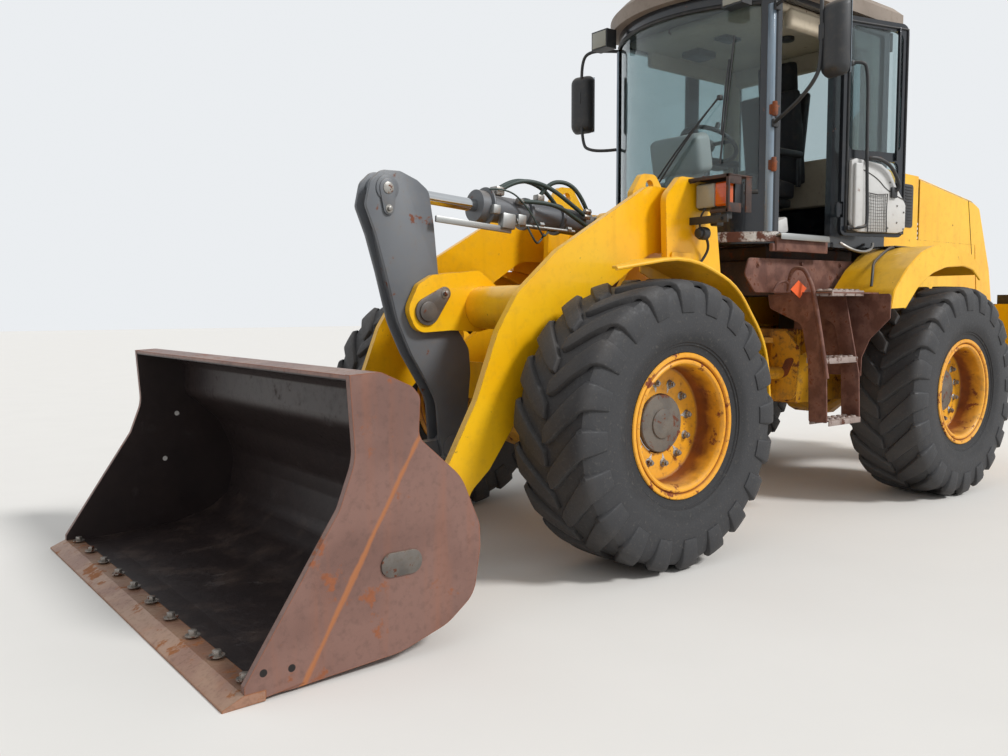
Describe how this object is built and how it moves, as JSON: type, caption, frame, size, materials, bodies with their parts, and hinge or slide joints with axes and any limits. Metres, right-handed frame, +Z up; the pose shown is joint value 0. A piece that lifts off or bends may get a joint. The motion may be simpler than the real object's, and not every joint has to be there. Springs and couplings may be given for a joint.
{
  "type": "wheel loader",
  "caption": "Articulated wheel loader with a Z-bar bucket linkage, an open cab door and four rubber-tyred wheels.",
  "frame": {"origin": "on the floor, at the middle of the length and width", "axes": "+X towards the bucket, +Y to the driver's left, +Z up"},
  "size_m": [7.15, 2.54, 3.34],
  "materials": {
    "tyre_rubber": "worn rubber with dried mud",
    "yellow_paint": "gloss yellow paint, weathered",
    "rust_paint": "yellow paint stained with rust",
    "bucket_steel": "bare worn steel, rusted",
    "grey_steel": "dark grey paint, dusty",
    "barrel_paint": "gloss yellow paint",
    "chrome_rod": "hard chrome, polished",
    "engine_paint": "grey engine paint",
    "black_steel": "satin black paint",
    "cab_plastic": "moulded plastic, grained",
    "seat_fabric": "woven cloth, worn",
    "glass": "clear tempered glass",
    "lamp_plastic": "clear lens, grey shell",
    "mirror_plastic": "black moulded plastic"
  },
  "bodies": {
    "rear_frame": {"rear_frame": "yellow_paint", "rear_axle": "yellow_paint", "counterweight": "yellow_paint", "engine_block": "engine_paint", "transmission": "engine_paint", "cab_frame": "black_steel", "cab_windows": "glass", "cab_roof": "cab_plastic", "cab_base": "black_steel", "seat": "seat_fabric", "cab_controls": "cab_plastic", "engine_covers": "yellow_paint", "exhaust_stack": "black_steel", "rear_fenders": "yellow_paint", "platforms": "black_steel", "ladders": "black_steel", "mirrors": "mirror_plastic", "lamps": "lamp_plastic"},
    "front_frame": {"front_frame": "yellow_paint", "front_axle": "yellow_paint", "front_fenders": "yellow_paint", "headlights": "lamp_plastic"},
    "boom": {"boom": "yellow_paint"},
    "lever": {"lever": "grey_steel"},
    "link": {"link": "grey_steel"},
    "bucket": {"bucket": "bucket_steel", "cutting_edge": "bucket_steel"},
    "tilt_barrel": {"tilt_barrel": "barrel_paint"},
    "tilt_rod": {"tilt_rod": "chrome_rod"},
    "lift_barrels": {"lift_barrels": "barrel_paint"},
    "lift_rods": {"lift_rods": "chrome_rod"},
    "steer_barrel_left": {"steer_barrel_left": "barrel_paint"},
    "steer_rod_left": {"steer_rod_left": "chrome_rod"},
    "steer_barrel_right": {"steer_barrel_right": "barrel_paint"},
    "steer_rod_right": {"steer_rod_right": "chrome_rod"},
    "hood": {"hood": "yellow_paint", "rear_grille": "black_steel"},
    "door": {"door_frame": "black_steel", "door_glass": "glass"},
    "wheel_front_left": {"tyre_front_left": "tyre_rubber", "rim_front_left": "rust_paint"},
    "wheel_front_right": {"tyre_front_right": "tyre_rubber", "rim_front_right": "rust_paint"},
    "wheel_rear_left": {"tyre_rear_left": "tyre_rubber", "rim_rear_left": "rust_paint"},
    "wheel_rear_right": {"tyre_rear_right": "tyre_rubber", "rim_rear_right": "rust_paint"}
  },
  "joints": [
    {"name": "steer", "type": "hinge", "parent": "rear_frame", "child": "front_frame", "pos_m": [-0.214, 0, 0.86], "axis": [0, 0, 1], "range_deg": [-35, 35]},
    {"name": "boom_lift", "type": "hinge", "parent": "front_frame", "child": "boom", "pos_m": [0.586, 0, 1.74], "axis": [0, -1, 0], "range_deg": [0, 88]},
    {"name": "bucket_tilt", "type": "hinge", "parent": "boom", "child": "bucket", "pos_m": [2.336, 0, 0.28], "axis": [0, 1, 0], "range_deg": [-40, 135]},
    {"name": "lever_pivot", "type": "hinge", "parent": "boom", "child": "lever", "pos_m": [2.026, 0, 1.28], "axis": [0, -1, 0], "range_deg": [-5.98, 19]},
    {"name": "link_pivot", "type": "hinge", "parent": "bucket", "child": "link", "pos_m": [2.386, 0, 0.52], "axis": [0, 1, 0], "range_deg": [-102.29, 30.66]},
    {"name": "tilt_barrel_pivot", "type": "hinge", "parent": "front_frame", "child": "tilt_barrel", "pos_m": [0.691, 0, 1.79], "axis": [0, -1, 0], "range_deg": [-0.5, 95.54]},
    {"name": "tilt_rod_slide", "type": "slide", "parent": "tilt_barrel", "child": "tilt_rod", "axis": [0.9974, 0, 0.0715], "range_m": [-0.1577, 0.0481]},
    {"name": "lift_barrel_pivot", "type": "hinge", "parent": "front_frame", "child": "lift_barrels", "pos_m": [0.386, 0, 0.72], "axis": [0, -1, 0], "range_deg": [-0.5, 46.7]},
    {"name": "lift_rod_slide", "type": "slide", "parent": "lift_barrels", "child": "lift_rods", "axis": [0.9391, 0, 0.3438], "range_m": [-0.002, 0.904]},
    {"name": "steer_barrel_pivot_left", "type": "hinge", "parent": "rear_frame", "child": "steer_barrel_left", "pos_m": [-0.734, 0.38, 0.855], "axis": [0, 0, 1], "range_deg": [-12.9, 12.9]},
    {"name": "steer_rod_slide_left", "type": "slide", "parent": "steer_barrel_left", "child": "steer_rod_left", "axis": [0.9956, -0.0937, 0], "range_m": [-0.2009, 0.2009]},
    {"name": "steer_barrel_pivot_right", "type": "hinge", "parent": "rear_frame", "child": "steer_barrel_right", "pos_m": [-0.734, -0.38, 0.855], "axis": [0, 0, 1], "range_deg": [-12.9, 12.9]},
    {"name": "steer_rod_slide_right", "type": "slide", "parent": "steer_barrel_right", "child": "steer_rod_right", "axis": [0.9956, 0.0937, 0], "range_m": [-0.2009, 0.2009]},
    {"name": "door_hinge", "type": "hinge", "parent": "rear_frame", "child": "door", "pos_m": [-0.774, 0.702, 2.4], "axis": [0, 0, 1], "range_deg": [-165.5, 0]},
    {"name": "hood_hinge", "type": "hinge", "parent": "rear_frame", "child": "hood", "pos_m": [-2.167, 0, 2.27], "axis": [0, 1, 0], "range_deg": [0, 40]},
    {"name": "wheel_front_left", "type": "hinge", "parent": "front_frame", "child": "wheel_front_left", "pos_m": [1.221, 0.925, 0.72], "axis": [0, 1, 0], "continuous": true},
    {"name": "wheel_front_right", "type": "hinge", "parent": "front_frame", "child": "wheel_front_right", "pos_m": [1.221, -0.925, 0.72], "axis": [0, 1, 0], "continuous": true},
    {"name": "wheel_rear_left", "type": "hinge", "parent": "rear_frame", "child": "wheel_rear_left", "pos_m": [-1.649, 0.925, 0.72], "axis": [0, 1, 0], "continuous": true},
    {"name": "wheel_rear_right", "type": "hinge", "parent": "rear_frame", "child": "wheel_rear_right", "pos_m": [-1.649, -0.925, 0.72], "axis": [0, 1, 0], "continuous": true}
  ],
  "couplings": [
    {"joint": "lever_pivot", "follows": "bucket_tilt", "ratio": 0.137},
    {"joint": "link_pivot", "follows": "bucket_tilt", "ratio": -0.754},
    {"joint": "tilt_barrel_pivot", "follows": "boom_lift", "ratio": 1.08},
    {"joint": "tilt_rod_slide", "follows": "bucket_tilt", "m_per_rad": -0.0661},
    {"joint": "lift_barrel_pivot", "follows": "boom_lift", "ratio": 0.525},
    {"joint": "lift_rod_slide", "follows": "boom_lift", "m_per_rad": 0.5873},
    {"joint": "steer_barrel_pivot_left", "follows": "steer", "ratio": 0.3544},
    {"joint": "steer_rod_slide_left", "follows": "steer", "m_per_rad": -0.3256},
    {"joint": "steer_barrel_pivot_right", "follows": "steer", "ratio": 0.3544},
    {"joint": "steer_rod_slide_right", "follows": "steer", "m_per_rad": 0.3256}
  ]
}
